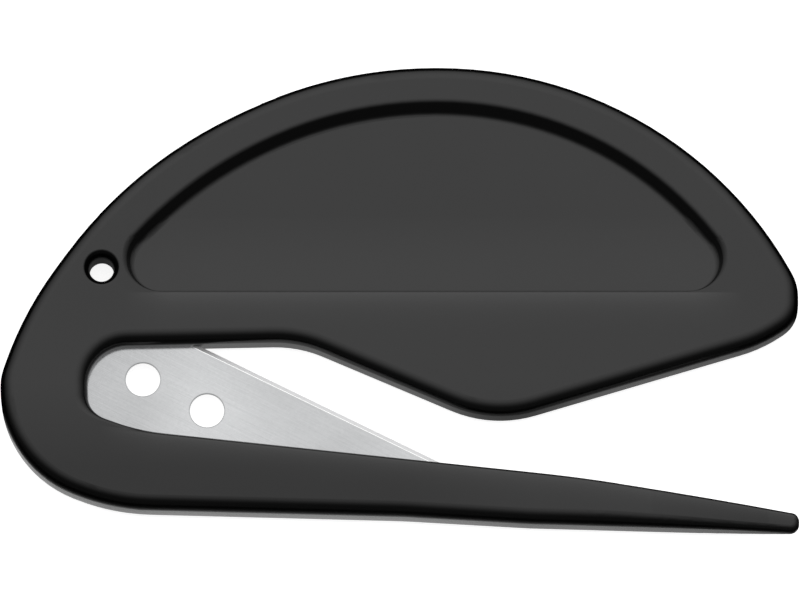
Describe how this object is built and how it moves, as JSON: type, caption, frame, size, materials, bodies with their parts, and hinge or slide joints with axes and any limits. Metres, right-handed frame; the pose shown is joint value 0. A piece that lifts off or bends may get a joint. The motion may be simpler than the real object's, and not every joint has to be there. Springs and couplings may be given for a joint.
{
  "type": "hand letter opener",
  "caption": "Flat moulded hand letter opener with a guide arm, a shielded blade set in a slot behind a window, a recessed thumb panel on each face and a hanging hole.",
  "frame": {"origin": "centre of the footprint, on the plane that the back face lies on", "axes": "+X along the length, towards the open end of the slot and the tip of the guide arm; +Y across the flat faces, from the guide arm towards the crown of the handle; +Z through the thickness, out of the front face"},
  "size_m": [0.0824, 0.0492, 0.0047],
  "materials": {
    "handle": "satin black moulded plastic",
    "blade": "stainless strip, ground along the cutting edge"
  },
  "bodies": {
    "root": {"handle": "handle", "blade": "blade"}
  },
  "joints": []
}
